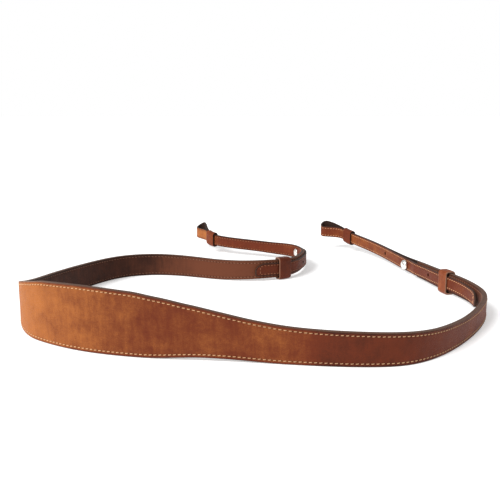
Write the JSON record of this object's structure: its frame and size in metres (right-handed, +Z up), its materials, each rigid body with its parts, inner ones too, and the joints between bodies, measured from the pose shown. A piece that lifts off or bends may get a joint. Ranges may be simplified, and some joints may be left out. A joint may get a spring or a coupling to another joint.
{
  "type": "camera neck strap",
  "caption": "Leather neck strap with a wide curved shoulder pad, tapering arms and narrow ends that fold through eyes, button over metal studs and tuck under keepers.",
  "frame": {"origin": "middle of the strap's bounding box, at the floor that it stands on", "axes": "+Z up from the floor, -Y towards the shoulder pad's side of the loop, +Y towards the two eyes, +X to the right as seen from the pad's side"},
  "size_m": [0.3472, 0.3872, 0.043],
  "materials": {
    "grain_leather": "waxed pull-up grain leather, mottled tan to chestnut, stitched edges",
    "lining_leather": "smooth dark brown lining leather",
    "keeper_leather": "smooth tan leather with dark cut edges",
    "stud_metal": "polished nickel"
  },
  "bodies": {
    "root": {"band_face": "grain_leather", "band_lining": "lining_leather", "end_strap_left": "grain_leather", "end_strap_right": "grain_leather", "keeper_eye_left": "keeper_leather", "keeper_eye_right": "keeper_leather", "keeper_tip_left": "keeper_leather", "keeper_tip_right": "keeper_leather", "stud_knob_left": "stud_metal", "stud_knob_right": "stud_metal", "stud_screw_left": "stud_metal", "stud_screw_right": "stud_metal"}
  },
  "joints": []
}
